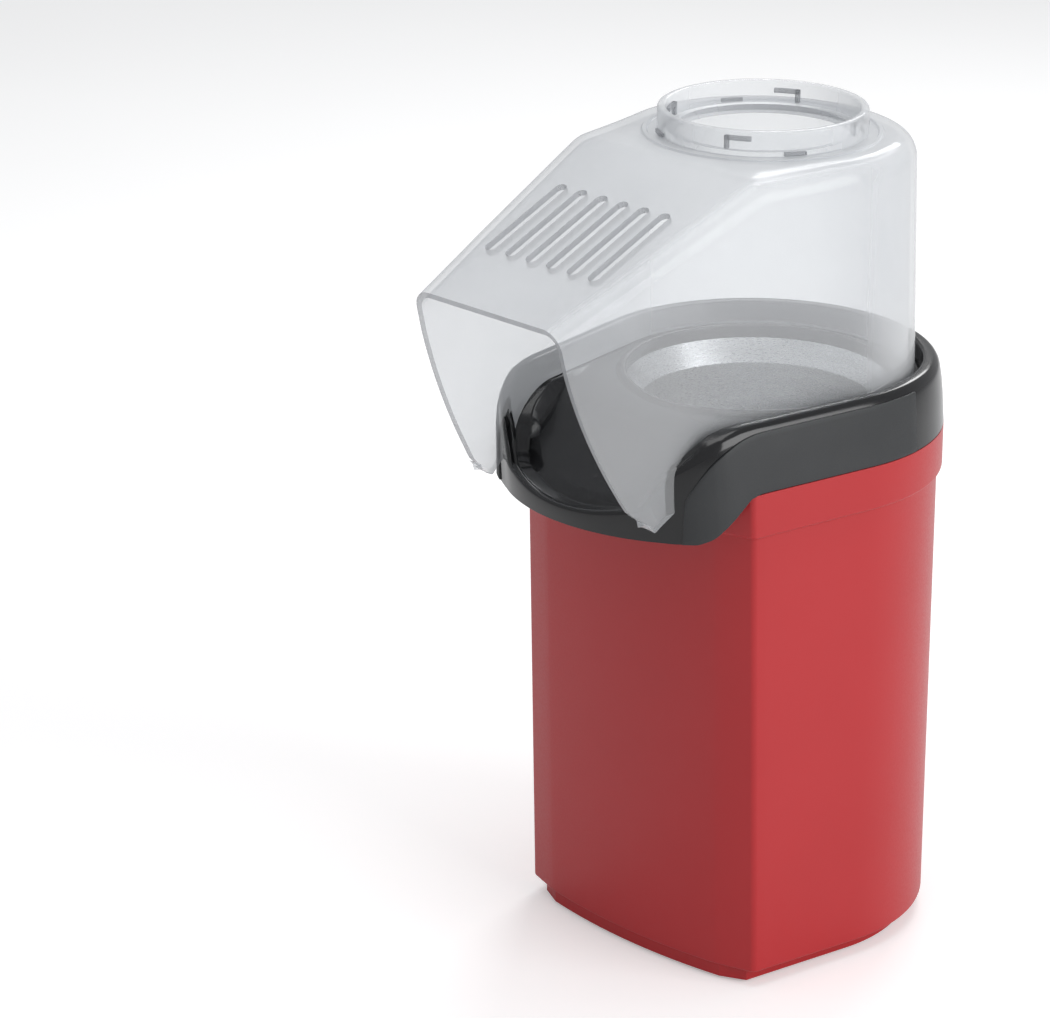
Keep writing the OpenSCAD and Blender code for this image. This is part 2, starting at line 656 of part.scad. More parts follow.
// Off at rest, with its upper end standing out.
module rocker() color([0.13, 0.13, 0.13]) on_axis() translate([0, hinge_y, switch_z]) {
    rotate([-rocker_swing / 2, 0, 0]) from_side(rocker_w)
        polygon([[-2.6, -8], [-1.2, 0], [-2.6, 8], [1.5, 7], [3.6, 0], [1.5, -7]]);
    translate([-(rocker_w + 1.6) / 2, 0, 0]) rotate([0, 90, 0])
        cylinder(r = rocker_pin_r, h = rocker_w + 1.6, $fn = 48);
}

// A wire of radius r through the points given.
module wire(points, r) for (i = [0 : len(points) - 2]) {
    a = points[i];
    v = points[i + 1] - a;
    translate(a) rotate([0, acos(v[2] / norm(v)), atan2(v[1], v[0])]) translate([0, 0, -r / 2])
        cylinder(r = r, h = norm(v) + r, $fn = 24);
}

// Leads from the switch up to the thermostat and to the thermal fuse.
module wiring() color("ivory") on_axis() {
    back = body_r - 6.5;
    wire([[0, body_r - 23.8, switch_z + 5], [-8, body_r - 15, switch_z + 14], [-8, back, 66],
        [-8, back, thermo_z - 16], [-3, back - 1.5, thermo_z - 1.6]], wire_r);
    side = [cos(fuse_angle), sin(fuse_angle)];
    wire([[0, body_r - 23.8, switch_z - 5], [16, back - 10, 54], [each back * side, 66],
        [each back * side, thermo_z - 26], [each fuse_ring * side, thermo_z - 15.2]], wire_r);
}

wire_r = 0.9;
fuse_angle = 62;
fuse_ring = duct_r + duct_t + 2.6;

// --- hood ----------------------------------------------------------------------

hood_shrink = 0.945;    // width of the hood's top against its foot
ledge_w = 3;            // width of the ledge inside the ring

// The hood's roof line seen from the side, lowered by d, reaching past its front.
module below_roof(d) from_side(big) polygon([[-90, 100], [-90, hood_top - d], [roof_crease, hood_top - d],
    [roof_crease + 2 * (hood_reach - roof_crease), hood_top - d - 2 * roof_drop], [2 * hood_reach, 100]]);

// The hood as a closed form, set in by g.
module hood_form(g) hull() for (a = [0, 30, 60, 90]) intersection() {
    translate([0, 0, spout_z - 10]) linear_extrude(hood_top - spout_z + 12, scale = hood_shrink)
        wedge_plan(hood_r - g - (hood_round - g) * (1 - cos(a)), hood_taper, hood_reach + 20);
    below_roof(g + (hood_round - g) * (1 - sin(a)));
}

// Everything in front of the hood's bowed front edge.
module before_hood() {
    r = 200;
    top = [hood_reach, hood_top - roof_drop];
    foot = [hood_foot + 1, spout_z + 1];
    mid = (top + foot) / 2;
    d = norm(top - foot);
    n = [foot[1] - top[1], top[0] - foot[0]] / d;
    c = mid + n * sqrt(r * r - d * d / 4);
    a0 = atan2(top[1] - c[1], top[0] - c[0]);
    a1 = atan2(foot[1] - c[1], foot[0] - c[0]);
    from_side(big) polygon(concat([[hood_reach + 60, hood_top], [hood_reach, hood_top]],
        arc(r, a0, a1, c, 20),
        [[hood_foot, spout_z - 30], [hood_reach + 60, spout_z - 30]]));
}

module hood() color([0.85, 0.88, 0.9], 0.35) on_axis() difference() {
    union() {
        difference() {
            hood_form(0);
            hood_form(hood_wall);
            before_hood();
            below_seat();
        }
        rotate_extrude() polygon([[ring_r - ring_wall - ledge_w, hood_top - hood_wall],
            [ring_r, hood_top - hood_wall], [ring_r, hood_top + ring_h],
            [ring_r - ring_wall, hood_top + ring_h], [ring_r - ring_wall, hood_top + 1],
            [ring_r - ring_wall - ledge_w, hood_top + 1]]);
    }
    translate([0, 0, hood_top - hood_wall - 1]) cylinder(r = ring_r - ring_wall - ledge_w, h = 20);
    // steam slots
    for (i = [0 : slot_count - 1])
        translate([(i - (slot_count - 1) / 2) * slot_pitch, -(roof_crease + hood_reach) / 2,
            hood_top - roof_drop / 2]) rotate([atan(roof_drop / (hood_reach - roof_crease)), 0, 0]) {
            for (s = [-1, 1]) translate([0, s * (slot_len - slot_w) / 2, -8])
                cylinder(r = slot_w / 2, h = 16, $fn = 32);
            translate([-slot_w / 2, -(slot_len - slot_w) / 2, -8]) cube([slot_w, slot_len - slot_w, 16]);
        }
}

// Everything under the hood's foot.
module below_seat() difference() {
    translate([-big / 2, -big, 0]) cube([big, 2 * big, rim_z + 5]);
    above_rim(seat_depth - seat_gap);
}

housing();
base_cover();
feet();
base_screws();
collar();
collar_screws();
popping_chamber();
heat_duct();
duct_screws();
fan_housing();
fan_housing_screws();
mica_board_long();
mica_board_cross();
heater_coils();
heater_terminals();
thermostat();
thermal_fuse();
motor_can();
motor_end_cap();
motor_magnets();
motor_bushes();
motor_brushes();
motor_bracket();
motor_screws();
rectifier_board();
rectifier_diodes();
rotor_shaft();
armature();
armature_windings();
commutator();
fan_wheel();
switch_body();
switch_terminals();
rocker();
cord_inlet();
wiring();
hood();
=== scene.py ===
import json
import bmesh
import bpy
import numpy as np
from math import cos, pi, radians, sin, tan
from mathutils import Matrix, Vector


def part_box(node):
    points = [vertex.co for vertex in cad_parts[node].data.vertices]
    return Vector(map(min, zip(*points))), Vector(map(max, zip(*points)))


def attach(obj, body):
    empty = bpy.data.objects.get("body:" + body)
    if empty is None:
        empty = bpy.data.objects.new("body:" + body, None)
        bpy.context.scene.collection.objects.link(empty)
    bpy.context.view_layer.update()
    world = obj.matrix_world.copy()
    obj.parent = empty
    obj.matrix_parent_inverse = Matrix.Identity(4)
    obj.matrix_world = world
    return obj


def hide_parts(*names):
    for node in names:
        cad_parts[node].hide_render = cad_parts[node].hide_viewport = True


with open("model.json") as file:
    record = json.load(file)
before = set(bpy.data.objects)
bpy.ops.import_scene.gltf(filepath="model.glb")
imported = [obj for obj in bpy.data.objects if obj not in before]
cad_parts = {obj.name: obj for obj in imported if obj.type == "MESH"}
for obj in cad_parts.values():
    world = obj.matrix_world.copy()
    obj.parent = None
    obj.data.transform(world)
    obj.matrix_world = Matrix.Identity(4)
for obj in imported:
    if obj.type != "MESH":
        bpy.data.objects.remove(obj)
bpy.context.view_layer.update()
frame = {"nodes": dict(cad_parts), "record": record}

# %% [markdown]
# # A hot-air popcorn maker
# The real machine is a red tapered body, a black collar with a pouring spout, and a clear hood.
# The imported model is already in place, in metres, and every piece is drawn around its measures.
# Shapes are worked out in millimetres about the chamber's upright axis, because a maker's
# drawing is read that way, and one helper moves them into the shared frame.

mm = 0.001
shaft_low, shaft_high = (np.array(corner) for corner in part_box("rotor_shaft"))
axis = (shaft_low + shaft_high) / 2 * np.array([1, 1, 0])


def extent(node):
    """The lowest and highest corners of a node, in millimetres about the chamber's axis."""
    return [(np.array(corner) - axis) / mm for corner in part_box(node)]


body_foot = extent("housing")[0][2]
collar_low, collar_high = extent("collar")
hood_low, hood_high = extent("hood")
rim_top, lip_reach = collar_high[2], -collar_low[1]
roof_reach, ring_top = -hood_low[1], hood_high[2]
print("chamber axis at", axis.round(4), "collar rim at", round(rim_top, 1), "ring top at", round(ring_top, 1))

# %% [markdown]
# ## Camera
# The view is from the front right and a little above. A long lens keeps the upright edges nearly
# parallel. The camera is aimed by its two angles, so no constraint is needed.

# %% Camera
azimuth, elevation = radians(45.993), radians(20.548)
camera_place = Vector((0.874988, -0.955466, 0.630854))
camera_data = bpy.data.cameras.new("camera")
camera_data.sensor_width = 36
camera_data.lens = 137.0
camera = bpy.data.objects.new("camera", camera_data)
camera.location = camera_place + Vector(axis)
camera.rotation_euler = (pi / 2 - elevation, 0, azimuth)
bpy.context.collection.objects.link(camera)
bpy.context.scene.camera = camera
print("camera stands", round((camera.location - Vector(axis)).length, 3), "m from the axis")

# %% [markdown]
# ## Floor and light
# A pale floor and a bright, even sky give the clear hood something to show. A big panel of light
# on the right makes the side of the body brighter than its front, one overhead lights the deck, and
# a smaller one behind draws thin highlights along the black rim. The sky is brighter to the camera
# than to the model, so the background stays white while the colours stay deep.


# %% Floor and light
def floor_disc(radius, count=96):
    """A flat disc: one face over a ring of points at (r cos a, r sin a)."""
    angle = np.arange(count) * 2 * pi / count
    ring = np.column_stack([radius * np.cos(angle), radius * np.sin(angle), np.zeros(count)])
    mesh = bpy.data.meshes.new("floor")
    mesh.from_pydata(ring.tolist(), [], [list(range(count))])
    return bpy.data.objects.new("floor", mesh)


def lamp(name, place, aim, size, power):
    """A square white area light at place that points to aim."""
    data = bpy.data.lights.new(name, "AREA")
    data.shape, data.size, data.energy = "SQUARE", size, power
    light = bpy.data.objects.new(name, data)
    light.location = place
    light.rotation_euler = (Vector(aim) - Vector(place)).to_track_quat("-Z", "Y").to_euler()
    bpy.context.collection.objects.link(light)


floor = floor_disc(3.0)
bpy.context.collection.objects.link(floor)
lamp("right_panel", (1.3, 0.25, 0.7), (0, 0.03, 0.12), 1.0, 11)
lamp("top_panel", (0.1, -0.1, 1.5), (0, 0.03, 0.15), 0.9, 5)
lamp("rim_strip", (-0.5, 0.9, 0.9), (0, 0.03, 0.2), 0.5, 4)
world = bpy.data.worlds.new("studio")
world.use_nodes = True
sky = world.node_tree.nodes["Background"]
sky.inputs["Color"].default_value = (0.97, 0.98, 1.0, 1)
ray = world.node_tree.nodes.new("ShaderNodeLightPath")
strength = world.node_tree.nodes.new("ShaderNodeMapRange")
strength.inputs["To Min"].default_value = 0.42
strength.inputs["To Max"].default_value = 1.05
world.node_tree.links.new(ray.outputs["Is Camera Ray"], strength.inputs["Value"])
world.node_tree.links.new(strength.outputs["Result"], sky.inputs["Strength"])
bpy.context.scene.world = world
bpy.context.scene.view_settings.view_transform = "Standard"

# %% [markdown]
# ## Finishes
# Every finish is a small node graph on Object coordinates, so that its grain stays with the piece.
# One maker builds the usual graph: a noise shifts the colour between two tones, and a second, finer
# noise drives the roughness and also lifts the surface by less than a tenth of a millimetre.


# %% A maker for grained finishes
def node_of(tree, kind, **values):
    """Adds a node and sets the sockets that are named."""
    node = tree.nodes.new(kind)
    for name, value in values.items():
        node.inputs[name.replace("_", " ")].default_value = value
    return node


def noise_of(tree, place, scale, detail=3.0, stretch=(1, 1, 1)):
    """Noise on Object coordinates, stretched along the axes."""
    mapping = node_of(tree, "ShaderNodeMapping", Scale=stretch)
    noise = node_of(tree, "ShaderNodeTexNoise", Scale=scale, Detail=detail)
    tree.links.new(place.outputs["Object"], mapping.inputs["Vector"])
    tree.links.new(mapping.outputs["Vector"], noise.inputs["Vector"])
    return noise


def ramp_of(tree, source, low, high, start=0.35, end=0.65):
    """A colour ramp from low to high tone, driven by a noise."""
    ramp = tree.nodes.new("ShaderNodeValToRGB")
    for stop, place, tone in zip(ramp.color_ramp.elements, (start, end), (low, high)):
        stop.position, stop.color = place, (*tone, 1)
    tree.links.new(source, ramp.inputs["Fac"])
    return ramp


def finish(name, tone, tone2, rough, rough2, grain=900.0, lift=0.02, patch=14.0, metal=0.0, coat=0.0,
           stretch=(1, 1, 1), coat_rough=0.06):
    """A grained finish: two tones in soft patches, two roughnesses in fine grain, lift in mm."""
    material = bpy.data.materials.new(name)
    material.use_nodes = True
    tree = material.node_tree
    shader = tree.nodes["Principled BSDF"]
    shader.inputs["Metallic"].default_value = metal
    shader.inputs["Coat Weight"].default_value = coat
    shader.inputs["Coat Roughness"].default_value = coat_rough
    place = tree.nodes.new("ShaderNodeTexCoord")
    patches = noise_of(tree, place, patch, stretch=stretch)
    fine = noise_of(tree, place, grain, 2.0, stretch)
    colour = ramp_of(tree, patches.outputs["Fac"], tone, tone2)
    gloss = ramp_of(tree, fine.outputs["Fac"], (rough,) * 3, (rough2,) * 3)
    bump = node_of(tree, "ShaderNodeBump", Distance=lift * mm, Strength=0.6)
    tree.links.new(colour.outputs["Color"], shader.inputs["Base Color"])
    tree.links.new(gloss.outputs["Color"], shader.inputs["Roughness"])
    tree.links.new(fine.outputs["Fac"], bump.inputs["Height"])
    tree.links.new(bump.outputs["Normal"], shader.inputs["Normal"])
    return material


finishes = {}
print("finish maker ready")

# %% [markdown]
# ## Plastics
# The body is a saturated red with a satin skin, the collar a piano black, and its side panels a
# finely grained charcoal. The gloss of the black comes from a clear coat, which keeps its colour deep.

# %% Plastics
finishes["red_plastic"] = finish("red_plastic", (0.47, 0.012, 0.016), (0.50, 0.015, 0.020), 0.32, 0.40,
                                 grain=1400, lift=0.006, patch=9, coat=0.1, coat_rough=0.15)
finishes["black_plastic"] = finish("black_plastic", (0.007, 0.007, 0.008), (0.010, 0.010, 0.011), 0.14, 0.17,
                                   grain=1200, lift=0.001, patch=20, coat=0.2, coat_rough=0.03)
panel_grain = finish("charcoal_grain", (0.026, 0.028, 0.030), (0.032, 0.034, 0.036), 0.46, 0.58,
                     grain=2600, lift=0.03, patch=30)
finishes["black_rubber"] = finish("black_rubber", (0.014, 0.014, 0.014), (0.022, 0.022, 0.022), 0.7, 0.85,
                                  grain=1800, lift=0.05, patch=60)
finishes["switch_plastic"] = finish("switch_plastic", (0.012, 0.012, 0.013), (0.018, 0.018, 0.018), 0.28,
                                    0.36, grain=2000, lift=0.015, patch=40)
finishes["heat_resin"] = finish("heat_resin", (0.05, 0.05, 0.052), (0.07, 0.07, 0.07), 0.45, 0.6, lift=0.03)
finishes["fan_resin"] = finish("fan_resin", (0.66, 0.64, 0.58), (0.72, 0.70, 0.64), 0.4, 0.5, lift=0.02)
finishes["wire_sleeving"] = finish("wire_sleeving", (0.74, 0.71, 0.62), (0.82, 0.79, 0.70), 0.6, 0.75,
                                   grain=3000, lift=0.06, patch=80)
finishes["circuit_board"] = finish("circuit_board", (0.02, 0.12, 0.05), (0.03, 0.16, 0.07), 0.35, 0.5,
                                   patch=120)
print("plastics:", len(finishes))

# %% [markdown]
# ## Metals, mica and ceramics
# Metals get a stretched grain, as rolling and turning leave it. Mica is flaky and brownish, and
# ferrite and core iron are dark and dull.

# %% Metals, mica and ceramics
metals = {
    "screw_steel": ((0.55, 0.55, 0.56), (0.66, 0.66, 0.67), 0.25, 0.38),
    "duct_steel": ((0.52, 0.53, 0.54), (0.62, 0.63, 0.64), 0.30, 0.45),
    "chamber_aluminium": ((0.66, 0.67, 0.68), (0.78, 0.79, 0.80), 0.22, 0.40),
    "resistance_wire": ((0.30, 0.28, 0.26), (0.42, 0.38, 0.34), 0.40, 0.55),
    "brass_parts": ((0.62, 0.44, 0.17), (0.74, 0.55, 0.24), 0.26, 0.42),
    "core_iron": ((0.22, 0.22, 0.23), (0.32, 0.32, 0.33), 0.45, 0.60),
    "copper_wire": ((0.58, 0.24, 0.10), (0.70, 0.32, 0.15), 0.28, 0.42),
}
for name, (tone, tone2, rough, rough2) in metals.items():
    finishes[name] = finish(name, tone, tone2, rough, rough2, grain=700, lift=0.008, patch=35, metal=1.0,
                            stretch=(1, 1, 7))
finishes["mica"] = finish("mica", (0.42, 0.32, 0.19), (0.60, 0.50, 0.34), 0.35, 0.6, grain=500, lift=0.08,
                          patch=160, stretch=(1, 1, 2))
finishes["ceramic_parts"] = finish("ceramic_parts", (0.72, 0.69, 0.62), (0.80, 0.78, 0.72), 0.35, 0.5,
                                   lift=0.03)
finishes["magnet_ferrite"] = finish("magnet_ferrite", (0.06, 0.06, 0.065), (0.09, 0.09, 0.095), 0.6, 0.75,
                                    lift=0.04)
finishes["carbon"] = finish("carbon", (0.02, 0.02, 0.02), (0.035, 0.035, 0.035), 0.6, 0.8, lift=0.04)
print("finishes:", len(finishes))

# %% [markdown]
# ## Clear plastic
# Moulded clear plastic shows its edges more than its faces. Real refraction is slow and noisy in a
# thin double wall, so the finish mixes a plain see-through shader with a pale glossy one: the share
# of gloss is small where the wall faces the eye and rises at glancing angles, as Fresnel does. A
# second, greyer one is for the cut edges: its grey is painted shade, in place of the darkening that
# refraction gives a clear edge.


# %% Clear plastic
def clear_finish(name, haze, edge, tone, tone2):
    """See-through and pale gloss, mixed by a layer weight that runs from haze to edge."""
    material = bpy.data.materials.new(name)
    material.use_nodes = True
    tree = material.node_tree
    gloss = tree.nodes["Principled BSDF"]
    gloss.inputs["Roughness"].default_value = 0.07
    gloss.inputs["IOR"].default_value = 1.55
    place = tree.nodes.new("ShaderNodeTexCoord")
    patches = noise_of(tree, place, 16)
    tint = ramp_of(tree, patches.outputs["Fac"], tone, tone2)
    tree.links.new(tint.outputs["Color"], gloss.inputs["Base Color"])
    weight = node_of(tree, "ShaderNodeLayerWeight", Blend=0.35)
    share = tree.nodes.new("ShaderNodeMapRange")
    for socket, value in (("To Min", haze), ("To Max", edge)):
        share.inputs[socket].default_value = value
    clear = node_of(tree, "ShaderNodeBsdfTransparent", Color=(0.97, 0.975, 0.98, 1))
    mix = tree.nodes.new("ShaderNodeMixShader")
    tree.links.new(weight.outputs["Facing"], share.inputs["Value"])
    tree.links.new(share.outputs["Result"], mix.inputs["Fac"])
    tree.links.new(clear.outputs["BSDF"], mix.inputs[1])
    tree.links.new(gloss.outputs["BSDF"], mix.inputs[2])
    tree.links.new(mix.outputs["Shader"], tree.nodes["Material Output"].inputs["Surface"])
    return material


finishes["clear_plastic"] = clear_finish("clear_plastic", 0.12, 0.80, (0.80, 0.815, 0.835),
                                          (0.86, 0.87, 0.885))
# the cut edges' grey is painted shade, in place of the darkening that refraction gives a clear edge
finishes["clear_edge_painted_shade"] = clear_finish("clear_edge_painted_shade", 0.42, 0.95, (0.30, 0.31, 0.33), (0.42, 0.43, 0.45))
print("clear finishes:", finishes["clear_plastic"].name, finishes["clear_edge_painted_shade"].name)

# %% [markdown]
# ## Floor paper
# The floor is matte white. It also glows a little, but only to the camera, so it stays pale without
# throwing more light on the model.


# %% Floor paper
def paper_finish():
    """Matte white that also glows a little to the camera, as backlit paper does."""
    material = finish("floor_paper", (0.86, 0.86, 0.86), (0.88, 0.88, 0.88), 0.7, 0.8, grain=300, patch=2)
    tree = material.node_tree
    shader, ray = tree.nodes["Principled BSDF"], tree.nodes.new("ShaderNodeLightPath")
    glow = node_of(tree, "ShaderNodeMapRange", To_Max=0.34)
    shader.inputs["Emission Color"].default_value = (1, 1, 1, 1)
    tree.links.new(ray.outputs["Is Camera Ray"], glow.inputs["Value"])
    tree.links.new(glow.outputs["Result"], shader.inputs["Emission Strength"])
    return material


floor.data.materials.append(paper_finish())
print("floor:", floor.data.materials[0].name)

# %% [markdown]
# ## Tools for drawing moulded shells
# All the big mouldings are the same kind of surface: a ring of stations goes round the machine in
# plan, and at each station a path climbs through a few levels. The levels are rounded with one
# formula, so that every edge gets the radius of its mould.


# %% Rounding a path
def rounded(levels, radii, steps=5):
    """Each inner level P is swapped for the curve ((1-t)^2 A + 2t(1-t)wP + t^2 B) / (the same weights'
    sum), where A and B lie one radius before and after P; w = 0.72 makes it nearly an arc."""
    t = np.linspace(0, 1, steps + 1)[:, None, None]
    wa, wp, wb = (1 - t) ** 2, 2 * t * (1 - t) * 0.72, t ** 2
    rows = [levels[0][None]]
    for before, corner, after, radius in zip(levels, levels[1:], levels[2:], radii):
        radius = np.broadcast_to(np.asarray(radius, float), corner.shape[:1])[:, None]
        ends = []
        for other in (before, after):
            span = other - corner
            length = np.linalg.norm(span, axis=1, keepdims=True) + 1e-9
            ends.append(corner + span * np.minimum(radius / length, 0.48))
        curve = (wa * ends[0] + wp * corner + wb * ends[1]) / (wa + wp + wb)
        rows.append(curve if radius.max() > 0 else corner[None])
    rows.append(levels[-1][None])
    return np.concatenate(rows)


def bend(a, p, b, radius, steps=5):
    """The same rounding for one corner of an outline: from a, round p, towards b."""
    three = [np.array([q], float) for q in (a, p, b)]
    return rounded(three, [radius], steps)[1:-1, 0]


def whole(half):
    """A half outline from the front round to the back, and its mirror image back to the front."""
    mirrored = half[:, ::-1][:, 1:-1] * np.array([-1, 1, 1])
    return np.concatenate([half, mirrored], axis=1)


print("a square corner of radius 2:", bend((0, 5), (0, 0), (5, 0), 2, 2).round(2).tolist())

# %% [markdown]
# One maker turns grids of points into a mesh, gives it a wall, rides it on a body of the machine and
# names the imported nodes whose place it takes.


# %% Turning a grid into a piece
def piece(name, grids, material, body, nodes=(), wall=0.0, bevel=0.0, closed=True, rim=None, sharp=35):
    """Joins grids of (rows, stations, xyz) into one mesh in the shared frame, gives it a wall, and
    rides it on its body."""
    points, quads = [], []
    for grid in grids:
        rows, count = grid.shape[:2]
        start = sum(len(p) for p in points)
        index = start + np.arange(rows * count).reshape(rows, count)
        right = np.roll(index, -1, axis=1) if closed else index[:, 1:]
        left = index if closed else index[:, :-1]
        quads.append(np.stack([left[:-1], right[:-1], right[1:], left[1:]], axis=-1).reshape(-1, 4))
        points.append(grid.reshape(-1, 3))
    mesh = bpy.data.meshes.new(name)
    mesh.from_pydata((np.concatenate(points) * mm + axis).tolist(), [], np.concatenate(quads).tolist())
    obj = bpy.data.objects.new(name, mesh)
    bpy.context.collection.objects.link(obj)
    work = bmesh.new()
    work.from_mesh(mesh)
    bmesh.ops.remove_doubles(work, verts=work.verts, dist=1e-6)
    bmesh.ops.dissolve_degenerate(work, edges=work.edges, dist=1e-7)
    work.to_mesh(mesh)
    work.free()
    for finish_used in (material, rim or material):
        mesh.materials.append(finish_used)
    if wall:
        solid = obj.modifiers.new("wall", "SOLIDIFY")
        solid.thickness, solid.offset = wall * mm, -1
        solid.material_offset_rim = 1
    if bevel:
        edge = obj.modifiers.new("edge", "BEVEL")
        edge.width, edge.segments, edge.limit_method, edge.angle_limit = bevel * mm, 2, "ANGLE", radians(50)
    settle(obj, sharp)
    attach(obj, body)
    if nodes:
        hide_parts(*nodes)
    print(name, "faces:", len(obj.data.polygons))
    return obj


def settle(obj, sharp):
    """Applies the modifiers, shades the faces smooth and keeps edges over the angle sharp."""
    graph = bpy.context.evaluated_depsgraph_get()
    mesh = bpy.data.meshes.new_from_object(obj.evaluated_get(graph))
    obj.modifiers.clear()
    obj.data = mesh
    mesh.polygons.foreach_set("use_smooth", np.ones(len(mesh.polygons), bool))
    mesh.set_sharp_from_angle(angle=radians(sharp))


# %% [markdown]
# ## Outlines in plan
# The body, its base and the collar share one outline: a bowed front, a facet at each corner, a
# straight side that closes in towards the front, and a round back. The number of points in each
# stretch is fixed, so outlines at different heights join up station by station.


# %% The shared outline
def half_outline(radius, taper, crease, front, half, bow, corner_r, crease_r):
    """The right half, from the middle of the front to the middle of the back. The bow is an arc of
    radius bow, the side touches the round back, and x falls by the tangent of taper along the side."""
    t = radians(taper)

    def bow_y(x):
        return bow - front - np.sqrt(bow * bow - x * x)

    corner = (half, bow_y(half))
    edge = ((radius - crease * sin(t)) / cos(t), -crease)
    touch = (radius * cos(t), -radius * sin(t))
    x = np.linspace(0, half - corner_r, 12)
    parts = [np.column_stack([x, bow_y(x)])]
    parts.append(bend(parts[0][-1], corner, edge, corner_r)[1:])
    parts.append(bend(corner, edge, touch, crease_r))
    run = np.linspace(0, 1, 12)[1:, None]
    parts.append(parts[-1][-1] * (1 - run) + np.array(touch) * run)
    angle = np.linspace(-t, pi / 2, 32)[1:]
    parts.append(radius * np.column_stack([np.cos(angle), np.sin(angle)]))
    return np.concatenate(parts)


def level(outline, z):
    """Puts an outline at a height, which may differ from station to station."""
    return np.column_stack([outline, np.broadcast_to(z, len(outline))])


# the body's shape: a proud band at the top, and a front that leans out a little
body_r, side_taper, crease_reach, front_reach = 62.0, 9.6, 54.0, 61.8
front_half, front_bow, front_lean, band_h, band_proud = 40.0, 227.0, 4.2, 16.0, 1.8
shell_top = rim_top - 24


def body_outline(z, grow):
    """The body's half outline at height z, grown outwards."""
    lean = front_lean * (z - body_foot) / (shell_top - body_foot)
    return half_outline(body_r + grow, side_taper, crease_reach + lean + grow, front_reach + lean + grow,
                        front_half, front_bow, 2.5, 1.6)


print("outline stations in one half:", len(body_outline(body_foot, 0)))

# %% [markdown]
# ## Collar lines seen from the side
# The rim runs level from the back, turns down in nearly a quarter circle beside the spout and ends in the
# lip. The lower edge runs level along the band and steps down to the front. Both are functions of
# the distance in front of the axis, so that body, collar and hood can share them.


# %% Rim, edge, seat and floor lines
sweep_reach, sweep_r, seat_drop = 57.0, 30.5, 7.0
lip_start, lip_fall, past_lip, past_fall = 95.5, 32.5, 122.0, 39.5


def rim_line(reach, drop=0.0):
    """Height of the rim, lowered by drop: level, then an arc, then straight to the lip."""
    angle = np.radians(np.linspace(90, 8, 40))
    arc_y = sweep_reach + (sweep_r - drop) * np.cos(angle)
    arc_z = rim_top - 1 - sweep_r + (sweep_r - drop) * np.sin(angle)
    ends_y = [lip_start - 0.7 * drop, past_lip]
    ends_z = [rim_top - lip_fall - 0.3 * drop, rim_top - past_fall - 0.3 * drop]
    return np.interp(reach, [*arc_y, *ends_y], [*arc_z, *ends_z])


def edge_line(reach):
    """Height of the collar's lower edge: level, a slanted step, level again."""
    marks, falls = [58, 61, 74, 78, 82], [0, 1, 12.6, 14.5, 15]
    return np.interp(reach, marks, [shell_top - fall for fall in falls])


def floor_line(reach):
    """The deck, blended into the spout's slope by half of (d + sqrt(d^2 + k^2))."""
    fall = (reach - 52) * tan(radians(33.6))
    return rim_top - 8 - 0.5 * (fall + np.sqrt(fall * fall + 5.0 ** 2)) + 0.12


print("rim", rim_line(0).round(1), "lip", rim_line(99.0).round(1), "floor at lip", floor_line(97.0).round(1))

# %% [markdown]
# ## The body
# The shell is one sheet with a wall added inside by Solidify. The band round its top is drawn as
# two more levels.

# %% Body shell
half_levels = [
    level(body_outline(body_foot, -1.2), body_foot + 0.1),
    level(body_outline(body_foot, 0), body_foot),
    level(body_outline(shell_top - band_h, 0), shell_top - band_h),
    level(body_outline(shell_top - band_h + 0.5, band_proud), shell_top - band_h + 0.6),
]
top = body_outline(shell_top, band_proud)
half_levels.append(level(top, edge_line(-top[:, 1]) - 0.3))
half_levels[3][:, 2] = np.minimum(half_levels[3][:, 2], half_levels[4][:, 2] - 0.4)
half_levels[2][:, 2] = np.minimum(half_levels[2][:, 2], half_levels[4][:, 2] - 1.0)
body_shell = piece("body_shell", [whole(rounded(half_levels, [1.0, 0.35, 0.7]))], finishes["red_plastic"],
                   "base", ["housing"], wall=2.2)


# %% [markdown]
# The switch and the cord inlet stand in openings in the back. Both cutters are prisms: an outline
# in the upright plane, pushed along Y.


# %% Openings in the body's back
def prism(outline, low, high):
    """A closed prism: an outline of (x, z) points at two places along Y."""
    count = len(outline)
    x, z = np.array(outline, float).T
    rings = [np.column_stack([x, np.full(count, y), z]) for y in (low, high)]
    i = np.arange(count)
    faces = [i.tolist(), (count + i[::-1]).tolist()]
    faces += np.column_stack([i, count + i, count + np.roll(i, -1), np.roll(i, -1)]).tolist()
    return np.concatenate(rings), faces


def cut_away(target, solids, names, sharp=30):
    """Takes closed solids away from a piece, with one exact Boolean."""
    points, faces = [], []
    for solid, quads in solids:
        start = sum(len(p) for p in points)
        faces += [[start + k for k in face] for face in quads]
        points.append(solid)
    mesh = bpy.data.meshes.new("cutter")
    mesh.from_pydata((np.concatenate(points) * mm + axis).tolist(), [], faces)
    for name in names:
        mesh.materials.append(finishes[name])
    mesh.polygons.foreach_set("material_index", np.full(len(faces), len(names) - 1, np.int32))
    work = bmesh.new()
    work.from_mesh(mesh)
    bmesh.ops.recalc_face_normals(work, faces=work.faces)
    work.to_mesh(mesh)
    work.free()
    cutter = bpy.data.objects.new("cutter", mesh)
    bpy.context.collection.objects.link(cutter)
    cut = target.modifiers.new("cut", "BOOLEAN")
    cut.operation, cut.solver, cut.object = "DIFFERENCE", "EXACT", cutter
    settle(target, sharp)
    bpy.data.objects.remove(cutter)


